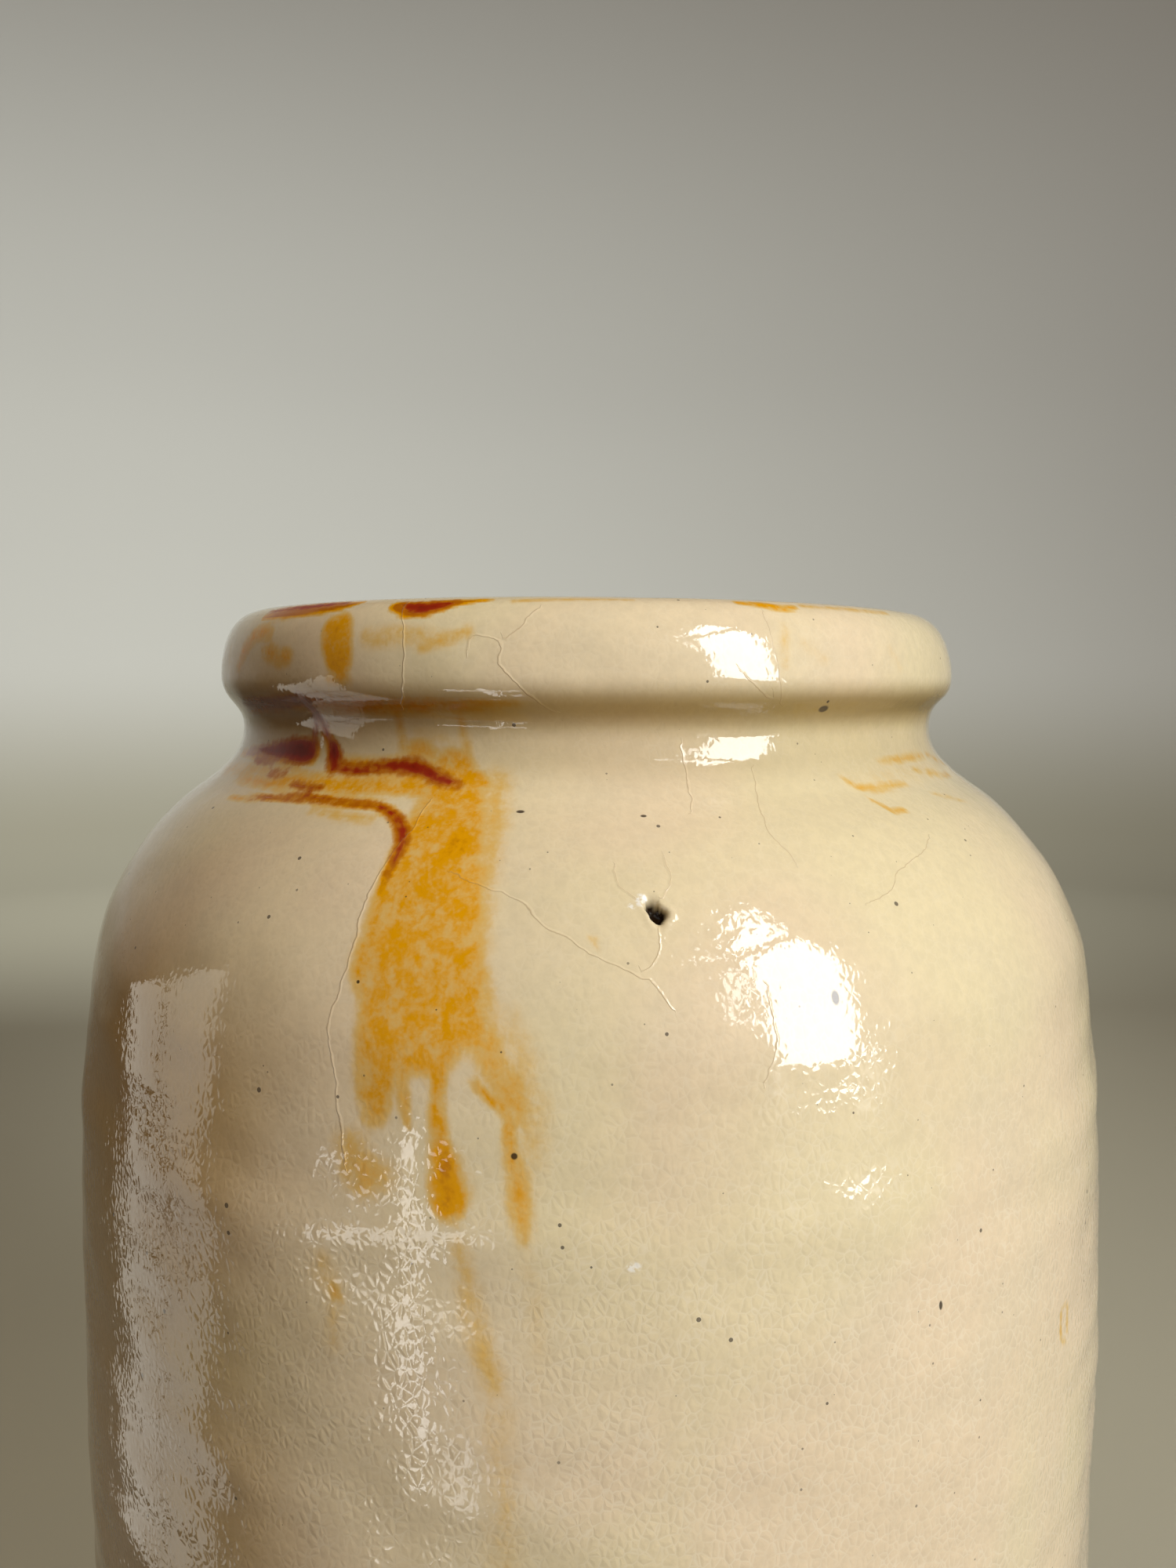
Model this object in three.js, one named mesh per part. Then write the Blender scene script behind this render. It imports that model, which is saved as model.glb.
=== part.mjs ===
// Apothecary jar: a hand-thrown storage jar with a wide body, a high round shoulder, a short
// sunken neck and a thick rolled lip, under which a cloth or parchment cover was once tied.
// A fired clay body carries three separate coats of glaze: outside, inside and under the base.
// Millimetres, +Z up. The jar stands on z = 0, and its axis is the Z axis.

import * as THREE from "three";

// Driving dimensions
const HEIGHT = 230;
const BODY_RADIUS = 80; // at the widest
const FULL_BODY_Z = 116; // height of the widest part
const WALL = 8; // clay and both coats together, half way up
const FLOOR_Z = 13; // top of the glazed floor inside
const GLAZE = 0.6; // thickness of each coat
const BOND_GAP = 0.3; // keeps coat and clay apart, so that they never share a face
const SEGMENTS = 48; // facets round the axis

// Lip and neck: radii of the glazed surface, and depths below the crest
const CREST_OUTER_RADIUS = 51.4; // the bare land on top of the lip lies between these two
const CREST_INNER_RADIUS = 48.2;
const LIP_RADIUS = 57.6;
const LIP_DEPTH = 9.5;
const NECK_RADIUS = 54.5;
const NECK_DEPTH = 16.7;
const MOUTH_RADIUS = 46.4; // inside the neck

// Shoulder: swells from a collar at the foot of the neck out to the body
const COLLAR_RADIUS = 58;
const COLLAR_DEPTH = 23.6;
const SHOULDER_RADIUS = 76.1;
const SHOULDER_DEPTH = 47.2;

// Lower body, foot ring and the hollow under the base
const HEEL_RADIUS = 76.6;
const HEEL_Z = 16;
const FOOT_OUTER_RADIUS = 68;
const FOOT_INNER_RADIUS = 61.2;
const FOOT_EDGE = 0.7; // worn edge of the foot
const GLAZE_LINE_RADIUS = 69.4; // where the outside coat stops above the bare foot
const GLAZE_LINE_Z = 4.5;
const RECESS_Z = 4;
const RECESS_EDGE_RADIUS = 59.4;
const RECESS_FILLET = 2.6;

const FIRED_CLAY = { color: 0xcdb18a, roughness: 0.85, metalness: 0 };
const CREAM_GLAZE = { color: 0xe6d3b3, roughness: 0.15, metalness: 0 };
const LINING_GLAZE = { color: 0xdfcfb0, roughness: 0.22, metalness: 0 };

// A path in the (radius, height) half plane. Material always lies on the left of its travel.
class Outline {
  constructor(radius, z) {
    this.points = [new THREE.Vector2(radius, z)];
  }

  lineTo(radius, z) {
    this.points.push(new THREE.Vector2(radius, z));
    return this;
  }

  // Cubic Bezier from the last point: two control points, the end point and how many facets.
  curveTo(first, second, end, steps) {
    const start = this.points[this.points.length - 1];
    const controls = [first, second, end].map(([radius, z]) => new THREE.Vector2(radius, z));
    const curve = new THREE.CubicBezierCurve(start, ...controls);
    this.points.push(...curve.getPoints(steps).slice(1));
    return this;
  }

  // The same path moved into the material by a distance. A point on the axis stays on it.
  inset(distance) {
    return this.points.map((point, i) => {
      const before = this.points[Math.max(i - 1, 0)];
      const after = this.points[Math.min(i + 1, this.points.length - 1)];
      const travel = after.clone().sub(before).normalize();
      const radius = point.x === 0 ? 0 : point.x - travel.y * distance;
      return new THREE.Vector2(radius, point.y + travel.x * distance);
    });
  }
}

// Under the base, from the middle out to the glaze line inside the foot ring.
function baseOutline() {
  const fillet = RECESS_FILLET;
  const flatEnd = RECESS_EDGE_RADIUS - fillet;
  return new Outline(0, RECESS_Z)
    .lineTo(flatEnd, RECESS_Z)
    .curveTo(
      [flatEnd + 0.55 * fillet, RECESS_Z],
      [RECESS_EDGE_RADIUS, RECESS_Z - 0.45 * fillet],
      [RECESS_EDGE_RADIUS, RECESS_Z - fillet],
      3,
    );
}

// Outside, from the glaze line above the foot up to the outer edge of the crest.
function outsideOutline() {
  const shoulderZ = HEIGHT - SHOULDER_DEPTH;
  const collarZ = HEIGHT - COLLAR_DEPTH;
  const neckZ = HEIGHT - NECK_DEPTH;
  const lipZ = HEIGHT - LIP_DEPTH;
  return new Outline(GLAZE_LINE_RADIUS, GLAZE_LINE_Z)
    .curveTo([73.5, 6.2], [76.2, 10.5], [HEEL_RADIUS, HEEL_Z], 3)
    .curveTo([78.4, 50], [BODY_RADIUS, 84], [BODY_RADIUS, FULL_BODY_Z], 3)
    .curveTo([BODY_RADIUS, 142], [78.8, 170], [SHOULDER_RADIUS, shoulderZ], 4)
    .curveTo([73.4, shoulderZ + 10.4], [65.9, collarZ - 4.6], [COLLAR_RADIUS, collarZ], 6)
    .curveTo([56.6, collarZ + 2], [NECK_RADIUS, neckZ - 3.7], [NECK_RADIUS, neckZ], 3)
    .curveTo([NECK_RADIUS, neckZ + 3.1], [LIP_RADIUS, lipZ - 3.8], [LIP_RADIUS, lipZ], 4)
    .curveTo([LIP_RADIUS, lipZ + 4.9], [55.6, HEIGHT], [CREST_OUTER_RADIUS, HEIGHT], 4);
}

// Inside, from the inner edge of the crest down the wall to the middle of the floor.
function insideOutline() {
  const wallRadius = BODY_RADIUS - WALL;
  const mouthZ = HEIGHT - 5;
  const throatZ = HEIGHT - NECK_DEPTH - 4;
  const wallTopZ = HEIGHT - SHOULDER_DEPTH - 18;
  const heelRadius = wallRadius - 3;
  const heelZ = FLOOR_Z + 16;
  return new Outline(CREST_INNER_RADIUS, HEIGHT)
    .curveTo([46.9, HEIGHT], [MOUTH_RADIUS, mouthZ + 2.6], [MOUTH_RADIUS, mouthZ], 2)
    .lineTo(MOUTH_RADIUS, throatZ)
    .curveTo([50, throatZ - 12], [wallRadius - 1.2, wallTopZ + 28], [wallRadius - 0.6, wallTopZ], 5)
    .curveTo([wallRadius, 130], [wallRadius, 70], [heelRadius, heelZ], 3)
    .curveTo([heelRadius - 0.9, FLOOR_Z + 4], [63, FLOOR_Z], [52, FLOOR_Z], 4)
    .lineTo(0, FLOOR_Z);
}

// A solid of revolution about Z. Its outline runs round the material with the material on its left.
function turned(name, outline, finish) {
  const geometry = new THREE.LatheGeometry(outline, SEGMENTS);
  geometry.rotateX(Math.PI / 2);
  const mesh = new THREE.Mesh(geometry, new THREE.MeshStandardMaterial(finish));
  mesh.name = name;
  return mesh;
}

// The thrown pot: everything under the coats, with a bare foot ring and a bare land on the crest.
function clayBody() {
  const under = GLAZE + BOND_GAP;
  const base = baseOutline().inset(under);
  const outside = outsideOutline().inset(under);
  const inside = insideOutline().inset(under);
  const landOuter = CREST_OUTER_RADIUS - GLAZE;
  const landInner = CREST_INNER_RADIUS + GLAZE;
  const landFootZ = HEIGHT - under;
  const footRing = [
    new THREE.Vector2(FOOT_INNER_RADIUS - FOOT_EDGE, FOOT_EDGE),
    new THREE.Vector2(FOOT_INNER_RADIUS, 0),
    new THREE.Vector2(FOOT_OUTER_RADIUS - FOOT_EDGE, 0),
    new THREE.Vector2(FOOT_OUTER_RADIUS, FOOT_EDGE),
    new THREE.Vector2(FOOT_OUTER_RADIUS, GLAZE_LINE_Z),
  ];
  const land = [
    new THREE.Vector2(landOuter, landFootZ),
    new THREE.Vector2(landOuter, HEIGHT),
    new THREE.Vector2(landInner, HEIGHT),
    new THREE.Vector2(landInner, landFootZ),
  ];
  return turned("clay_body", [...base, ...footRing, ...outside, ...land, ...inside], FIRED_CLAY);
}

// A coat whose two ends are free, so that its outline closes on itself.
function outerGlaze() {
  const outline = outsideOutline();
  const skin = outline.points;
  return turned("outer_glaze", [...skin, ...outline.inset(GLAZE).reverse(), skin[0]], CREAM_GLAZE);
}

// The lining: up its clay side from the axis, over its edge at the crest and down its bare side.
function innerGlaze() {
  const outline = insideOutline();
  return turned("inner_glaze", [...outline.inset(GLAZE).reverse(), ...outline.points], LINING_GLAZE);
}

// The coat in the hollow under the base.
function baseGlaze() {
  const outline = baseOutline();
  return turned("base_glaze", [...outline.points, ...outline.inset(GLAZE).reverse()], CREAM_GLAZE);
}

const jar = new THREE.Group();
jar.add(clayBody(), outerGlaze(), innerGlaze(), baseGlaze());

export default jar;
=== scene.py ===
"""Looks for the apothecary jar: a hand-thrown, cream glazed earthenware jar with rust runs.

Every piece of the jar is remade here as a fine turned mesh that wanders as a hand-thrown wall does.
Lengths are in millimetres until a mesh is made, and azimuths in degrees: 0 faces the camera (-Y),
and positive azimuths turn towards +X. Marks on the glaze are placed by azimuth and height.
"""

import math

import bpy
import numpy as np
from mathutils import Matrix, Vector


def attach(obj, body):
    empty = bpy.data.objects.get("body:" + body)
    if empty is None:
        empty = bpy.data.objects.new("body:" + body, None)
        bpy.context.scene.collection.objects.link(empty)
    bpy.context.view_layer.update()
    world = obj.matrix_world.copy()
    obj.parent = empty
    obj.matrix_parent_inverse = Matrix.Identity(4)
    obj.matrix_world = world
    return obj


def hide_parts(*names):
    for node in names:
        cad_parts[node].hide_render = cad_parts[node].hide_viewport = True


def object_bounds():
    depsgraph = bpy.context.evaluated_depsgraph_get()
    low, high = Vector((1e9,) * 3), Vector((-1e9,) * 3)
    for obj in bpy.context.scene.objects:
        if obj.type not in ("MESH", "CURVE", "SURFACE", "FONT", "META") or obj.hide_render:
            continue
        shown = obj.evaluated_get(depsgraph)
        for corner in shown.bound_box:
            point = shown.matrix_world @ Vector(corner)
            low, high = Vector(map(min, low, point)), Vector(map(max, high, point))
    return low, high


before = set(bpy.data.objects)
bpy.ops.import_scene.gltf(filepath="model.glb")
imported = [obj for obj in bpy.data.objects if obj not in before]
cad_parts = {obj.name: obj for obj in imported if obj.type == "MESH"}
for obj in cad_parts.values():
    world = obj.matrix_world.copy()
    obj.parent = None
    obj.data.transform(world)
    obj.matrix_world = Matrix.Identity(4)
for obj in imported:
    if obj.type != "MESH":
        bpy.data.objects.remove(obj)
cad_lo, cad_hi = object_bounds()

MM = 0.001
HEIGHT = cad_hi.z / MM
BODY_RADIUS = (cad_hi.x - cad_lo.x) / 2 / MM

# The outline's driving dimensions, the same as in the CAD model
FULL_BODY_Z = 116
WALL = 8
FLOOR_Z = 13
CREST_OUTER_RADIUS = 51.4
CREST_INNER_RADIUS = 48.2
LIP_RADIUS, LIP_DEPTH = 57.6, 9.5
NECK_RADIUS, NECK_DEPTH = 54.5, 16.7
MOUTH_RADIUS = 46.4
COLLAR_RADIUS, COLLAR_DEPTH = 58, 23.6
SHOULDER_RADIUS, SHOULDER_DEPTH = 76.1, 47.2
HEEL_RADIUS, HEEL_Z = 76.6, 16
FOOT_OUTER_RADIUS, FOOT_INNER_RADIUS, FOOT_EDGE = 68, 61.2, 0.7
GLAZE_LINE_RADIUS, GLAZE_LINE_Z = 69.4, 4.5
RECESS_Z, RECESS_EDGE_RADIUS, RECESS_FILLET = 4, 59.4, 2.6

COAT = 0.45  # thickness of a glaze coat
BEDDING = 0.04  # how far a coat's hidden side stands off the clay

# The blister hole in the shoulder, the one mark that is deep enough to need its own fine mesh
CRATER_AZIMUTH, CRATER_Z = 6.0, 195.3
CRATER_HALF_WIDTH, CRATER_HALF_HEIGHT, CRATER_DEPTH = 1.35, 0.95, 2.0

# The camera stands close to the jar, just under the height of its rim
CAMERA_PLACE = (-0.26, -194.3, 219.8)
CAMERA_PITCH = 4.94  # degrees below level
CAMERA_LENS = 27.07  # on the usual 36 mm sensor


def add_camera():
    data = bpy.data.cameras.new("Camera")
    data.lens = CAMERA_LENS
    data.clip_start = 0.01
    camera = bpy.data.objects.new("Camera", data)
    bpy.context.scene.collection.objects.link(camera)
    camera.location = Vector(CAMERA_PLACE) * MM
    camera.rotation_euler = (math.radians(90 - CAMERA_PITCH), 0, 0)
    bpy.context.scene.camera = camera


add_camera()


# ---------------------------------------------------------------- outlines

def spread(x, density, count):
    """count values along x, packed in proportion to density, both ends included."""
    total = np.r_[0, np.cumsum((density[1:] + density[:-1]) / 2 * np.diff(x))]
    return np.interp(np.linspace(0, total[-1], count), total, x)


def bump(x, centre, width):
    """A smooth hill of height 1."""
    return np.exp(-((x - centre) / width) ** 2)


def rise(x, start, end):
    """0 before start and 1 after end, turning smoothly between them."""
    t = np.clip((x - start) / (end - start), 0, 1)
    return t * t * (3 - 2 * t)


class Outline:
    """A path in the (radius, height) half plane, travelled by its arc length in mm."""

    def __init__(self, radius, z):
        self.points = [(radius, z)]

    def line(self, radius, z, steps=40):
        start, end = np.array(self.points[-1]), np.array((radius, z), float)
        for t in np.linspace(0, 1, steps + 1)[1:]:
            self.points.append(tuple(start + (end - start) * t))
        return self

    def curve(self, first, second, end, steps=60):
        """Cubic Bezier: two control points and the end point."""
        p0, p1, p2, p3 = (np.array(p, float) for p in (self.points[-1], first, second, end))
        for t in np.linspace(0, 1, steps + 1)[1:]:
            u = 1 - t
            self.points.append(tuple(u**3 * p0 + 3 * u * u * t * p1 + 3 * u * t * t * p2 + t**3 * p3))
        return self

    def done(self):
        self.r, self.z = np.array(self.points).T
        self.s = np.r_[0, np.cumsum(np.hypot(np.diff(self.r), np.diff(self.z)))]
        self.length = self.s[-1]
        dr, dz = np.gradient(self.r, self.s), np.gradient(self.z, self.s)
        size = np.hypot(dr, dz)
        self.tr, self.tz = dr / size, dz / size
        return self

    def at(self, s, depth=0.0):
        """Radius and height at arc length s, moved into the clay by depth."""
        r, z, tr, tz = (np.interp(s, self.s, a) for a in (self.r, self.z, self.tr, self.tz))
        size = np.hypot(tr, tz)
        return r + self.side * tz / size * depth, z - self.side * tr / size * depth

    def s_of_z(self, z):
        """Arc length at a height, on an outline that only goes down."""
        return np.interp(-np.asarray(z, float), -self.z, self.s)


def outside_outline():
    """The glazed outside, from the outer edge of the crest down to the glaze line."""
    lip_z, neck_z = HEIGHT - LIP_DEPTH, HEIGHT - NECK_DEPTH
    collar_z, shoulder_z = HEIGHT - COLLAR_DEPTH, HEIGHT - SHOULDER_DEPTH
    path = Outline(CREST_OUTER_RADIUS, HEIGHT)
    path.curve((55.6, HEIGHT), (LIP_RADIUS, lip_z + 4.9), (LIP_RADIUS, lip_z))
    path.curve((LIP_RADIUS, lip_z - 3.8), (NECK_RADIUS, neck_z + 3.1), (NECK_RADIUS, neck_z))
    path.curve((NECK_RADIUS, neck_z - 3.7), (56.6, collar_z + 2), (COLLAR_RADIUS, collar_z))
    path.curve((65.9, collar_z - 4.6), (73.4, shoulder_z + 10.4), (SHOULDER_RADIUS, shoulder_z))
    path.curve((78.8, 170), (BODY_RADIUS, 142), (BODY_RADIUS, FULL_BODY_Z))
    path.curve((BODY_RADIUS, 84), (78.4, 50), (HEEL_RADIUS, HEEL_Z))
    path.curve((76.2, 10.5), (73.5, 6.2), (GLAZE_LINE_RADIUS, GLAZE_LINE_Z))
    path.side = 1
    return path.done()


def inside_outline():
    """The lining, from the inner edge of the crest down to the middle of the floor."""
    wall = BODY_RADIUS - WALL
    mouth_z, throat_z = HEIGHT - 5, HEIGHT - NECK_DEPTH - 4
    wall_top_z, heel_z = HEIGHT - SHOULDER_DEPTH - 18, FLOOR_Z + 16
    path = Outline(CREST_INNER_RADIUS, HEIGHT)
    path.curve((46.9, HEIGHT), (MOUTH_RADIUS, mouth_z + 2.6), (MOUTH_RADIUS, mouth_z))
    path.line(MOUTH_RADIUS, throat_z)
    path.curve((50, throat_z - 12), (wall - 1.2, wall_top_z + 28), (wall - 0.6, wall_top_z))
    path.curve((wall, 130), (wall, 70), (wall - 3, heel_z))
    path.curve((wall - 3.9, FLOOR_Z + 4), (63, FLOOR_Z), (52, FLOOR_Z))
    path.line(0, FLOOR_Z)
    path.side = -1
    return path.done()


def base_outline():
    """The glazed hollow under the base, from the foot ring in to the middle."""
    flat_end = RECESS_EDGE_RADIUS - RECESS_FILLET
    path = Outline(RECESS_EDGE_RADIUS, RECESS_Z - RECESS_FILLET)
    path.curve((RECESS_EDGE_RADIUS, RECESS_Z - 0.45 * RECESS_FILLET),
               (flat_end + 0.55 * RECESS_FILLET, RECESS_Z), (flat_end, RECESS_Z), 24)
    path.line(0, RECESS_Z)
    path.side = 1
    return path.done()


OUTSIDE = outside_outline()
INSIDE = inside_outline()
BASE = base_outline()


# ---------------------------------------------------------------- the hand-thrown form

rng = np.random.default_rng(1907)


def lumps(size, terms=14):
    """A smooth random field over azimuth and height, about -1 to 1, with lumps of that size in mm."""
    around = rng.integers(1, max(2, int(2 * math.pi * BODY_RADIUS / size)), terms)
    up = rng.normal(0, 1 / size, terms)
    phase = rng.uniform(0, 2 * math.pi, terms)

    def field(azimuth, z):
        a = np.radians(azimuth)
        waves = [np.cos(m * a + 2 * math.pi * n * z + p) for m, n, p in zip(around, up, phase)]
        return sum(waves) / math.sqrt(terms / 2)

    return field


big_lumps, hand_lumps, fine_lumps = lumps(120), lumps(34), lumps(13)
edge_lumps, inner_lumps = lumps(22), lumps(30)

RING_PITCH = 9.5  # the spiral that the potter's fingers leave


def outside_wander(azimuth, z):
    """How far the outside of the wall stands proud of its true round, in mm."""
    a = np.radians(azimuth)
    body = rise(z, 0, 25) * (1 - rise(z, 222, 229))
    out = 0.28 * np.cos(2 * a - 0.9) + 0.14 * np.cos(3 * a + 0.6)
    out = out + 0.16 * big_lumps(azimuth, z) + body * 0.10 * hand_lumps(azimuth, z)
    out = out + body * 0.028 * fine_lumps(azimuth, z)
    below_neck = 1 - rise(z, 196, 204)
    spiral = np.cos(2 * math.pi * z / RING_PITCH - a)
    out = out + below_neck * body * spiral * (0.035 + 0.025 * hand_lumps(azimuth, z * 0.7 + 40))
    # the turning ridge under the neck, the soft step where two pulls meet, and the sharper notch on the right
    out = out + 0.22 * bump(z, 206.6, 1.0) - 0.16 * bump(z, 204.6, 1.2)
    out = out + 0.18 * bump(z, 162.5 + 1.2 * np.sin(a), 3.2) - 0.14 * bump(z, 169.5 + 1.5 * np.sin(a), 3.6)
    right = rise(azimuth, 15, 70) * (1 - rise(azimuth, 110, 160))
    out = out - right * 0.55 * bump(z, 216.6, 1.5)
    return out


def inside_wander(azimuth, z):
    """The same for the lining, which keeps the wall's big lumps and has rings of its own."""
    a = np.radians(azimuth)
    wall = rise(z, 16, 30) * (1 - rise(z, 195, 215))
    out = 0.28 * np.cos(2 * a - 0.9) + 0.14 * np.cos(3 * a + 0.6) + 0.16 * big_lumps(azimuth, z)
    rings = np.cos(2 * math.pi * z / RING_PITCH - a + 0.8 * inner_lumps(azimuth, z))
    return out + wall * (0.32 * rings + 0.12 * inner_lumps(azimuth, z))


LEAN = math.radians(0.5)  # the upper body leans a little to the left
LEAN_START_Z = 90
RIM_DROP = 0.3  # the rim is this much low on the right and high on the left


def place(r, z, azimuth, wander):
    """Points of the turned wall once it wanders and leans, as (..., 3) in mm."""
    a = np.radians(azimuth)
    out = r + wander(azimuth, z) * np.clip(r / 50, 0, 1)
    above = np.clip(z - LEAN_START_Z, 0, None)
    lean = -LEAN * above**2 / (2 * (HEIGHT - LEAN_START_Z))
    drop = RIM_DROP * np.sin(a) * rise(z, 185, HEIGHT)
    return np.stack(np.broadcast_arrays(out * np.sin(a) + lean, -out * np.cos(a), z - drop), -1)


def crater(azimuth, z, grow=0.0):
    """Depth of the blister hole at a point, in mm; grow widens it."""
    across = (azimuth - CRATER_AZIMUTH) * math.radians(1) * 73.5
    up = z - CRATER_Z
    turn = np.arctan2(up, across)
    ragged = 1 + 0.13 * np.cos(2 * turn + 2.2) + 0.10 * np.cos(3 * turn - 0.7) + 0.07 * np.cos(5 * turn)
    tilt_across = across * 0.94 - up * 0.34
    tilt_up = across * 0.34 + up * 0.94
    reach = np.hypot(tilt_across / (CRATER_HALF_WIDTH + grow), tilt_up / (CRATER_HALF_HEIGHT + grow)) / ragged
    hole = CRATER_DEPTH * (1 - rise(reach, 0.45, 1.08))
    return hole - 0.10 * bump(reach, 1.35, 0.22)


# ---------------------------------------------------------------- meshes

def columns(count, crater_share=1.0):
    """Azimuths round the jar, close together on the side that faces the camera."""
    x = np.linspace(-180, 180, 7201)
    front = 1 + 2.6 * rise(x, -82, -62) * (1 - rise(x, 62, 82))
    near_crater = 11 * crater_share * bump(x, CRATER_AZIMUTH, 1.3)
    return spread(x, front + near_crater, count + 1)[:-1]


def mesh_piece(name, points, faces, uvs, material):
    """Makes an object from points in mm, quads or triangles, and one UV for each face corner."""
    mesh = bpy.data.meshes.new(name)
    mesh.from_pydata((points * MM).tolist(), [], faces)
    mesh.polygons.foreach_set("use_smooth", [True] * len(faces))
    layer = mesh.uv_layers.new(name="OFBake")
    layer.data.foreach_set("uv", np.asarray(uvs, np.float32).ravel())
    mesh.materials.append(material)
    mesh.validate()
    piece = bpy.data.objects.new(name, mesh)
    bpy.context.scene.collection.objects.link(piece)
    return piece


def turned_piece(name, grid, row_shares, material, first_pole=None, last_pole=None):
    """A closed piece from a grid of points, rows by columns.

    With no poles the last row joins the first, as on a ring. With two poles the first and last rows
    close on them instead. row_shares says how much of the texture's height each band of faces takes.
    """
    rows, cols = grid.shape[:2]
    ring = first_pole is None
    v = 1 - np.r_[0, np.cumsum(row_shares)] / sum(row_shares)
    if not ring:
        v = v[1:]
    faces, uvs = [], []
    for i in range(rows if ring else rows - 1):
        below = (i + 1) % rows
        for j in range(cols):
            k = (j + 1) % cols
            u0, u1 = j / cols, (j + 1) / cols
            faces.append((i * cols + j, below * cols + j, below * cols + k, i * cols + k))
            uvs.extend(((u0, v[i]), (u0, v[i + 1]), (u1, v[i + 1]), (u1, v[i])))
    points = grid.reshape(-1, 3)
    if not ring:
        points = np.vstack([points, first_pole, last_pole])
        first, last = rows * cols, rows * cols + 1
        start = (rows - 1) * cols
        for j in range(cols):
            k = (j + 1) % cols
            u0, middle, u1 = j / cols, (j + 0.5) / cols, (j + 1) / cols
            faces.append((first, j, k))
            faces.append((last, start + k, start + j))
            uvs.extend(((middle, 1), (u0, v[0]), (u1, v[0])))
            uvs.extend(((middle, 0), (u1, v[rows - 1]), (u0, v[rows - 1])))
    return mesh_piece(name, points, faces, uvs, material)


def add_values(piece, name, values, elsewhere=0.0):
    """Stores one number for each vertex; vertices past the end of values get elsewhere."""
    full = np.full(len(piece.data.vertices), elsewhere, np.float32)
    full[:values.size] = values.ravel()
    piece.data.attributes.new(name, "FLOAT", "POINT").data.foreach_set("value", full)


# ---------------------------------------------------------------- marks on the outside

class Marks:
    """Fields over the outside's vertices, made from strokes given by azimuth, height and half-width."""

    def __init__(self, azimuth, s, r):
        self.azimuth, self.s, self.r = azimuth.ravel(), s.ravel(), r.ravel()

    def path(self, points):
        """A smooth path of (azimuth, arc length, half-width) through given points."""
        p = np.array(points, float)
        p[:, 1] = OUTSIDE.s_of_z(p[:, 1])
        ends = np.vstack([2 * p[0] - p[1], p, 2 * p[-1] - p[-2]])
        path = []
        for a, b, c, d in zip(ends[:-3], ends[1:-2], ends[2:-1], ends[3:]):
            for t in np.linspace(0, 1, 6)[:-1]:
                path.append(0.5 * (2 * b + (c - a) * t + (2 * a - 5 * b + 4 * c - d) * t * t
                                   + (3 * b - a - 3 * c + d) * t**3))
        path.append(p[-1])
        return np.array(path)

    def measure(self, points, reach):
        """(vertices near the stroke, how far inside its edge each is in mm, signed distance to its line)."""
        path = self.path(points)
        scale = math.radians(1) * self.r
        near = ((self.s > path[:, 1].min() - reach) & (self.s < path[:, 1].max() + reach)
                & ((self.azimuth - path[:, 0].min()) * scale > -reach)
                & ((self.azimuth - path[:, 0].max()) * scale < reach))
        near = np.flatnonzero(near)
        azimuth, s, scale = self.azimuth[near], self.s[near], scale[near]
        inside = np.full(near.size, -reach)
        line = np.full(near.size, float(reach))
        for start, end in zip(path[:-1], path[1:]):
            x0, y0 = (start[0] - azimuth) * scale, start[1] - s
            dx, dy = (end[0] - start[0]) * scale, end[1] - start[1]
            t = np.clip(-(x0 * dx + y0 * dy) / (dx * dx + dy * dy + 1e-9), 0, 1)
            distance = np.hypot(x0 + t * dx, y0 + t * dy)
            half_width = start[2] + (end[2] - start[2]) * t
            inside = np.maximum(inside, half_width - distance)
            closer = distance < np.abs(line)
            side = np.where(dx * y0 - dy * x0 < 0, -1.0, 1.0)
            line = np.where(closer, distance * side, line)
        return near, inside, line

    def stain(self, strokes):
        """The strongest stain at each vertex. Each stroke is (strength, softness in mm, points)."""
        total = np.zeros(self.s.size)
        for strength, softness, points in strokes:
            near, inside, _ = self.measure(points, softness + 8)
            total[near] = np.maximum(total[near], strength * rise(inside, -softness, softness))
        return total

    def edge(self, strokes, reach=3.0):
        """How far inside the nearest stroke each vertex is, in mm, and -reach well outside."""
        total = np.full(self.s.size, -reach)
        for points in strokes:
            near, inside, _ = self.measure(points, reach + 3)
            total[near] = np.maximum(total[near], inside)
        return np.clip(total, -reach, reach)

    def cracks(self, lines, reach=3.0):
        """The signed distance to the nearest crack in mm, and the same without its sign."""
        side = np.full(self.s.size, reach)
        for points in lines:
            near, _, line = self.measure([(a, z, 0) for a, z in points], reach)
            closer = np.abs(line) < np.abs(side[near])
            side[near] = np.where(closer, line, side[near])
        return side, np.abs(side)


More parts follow.
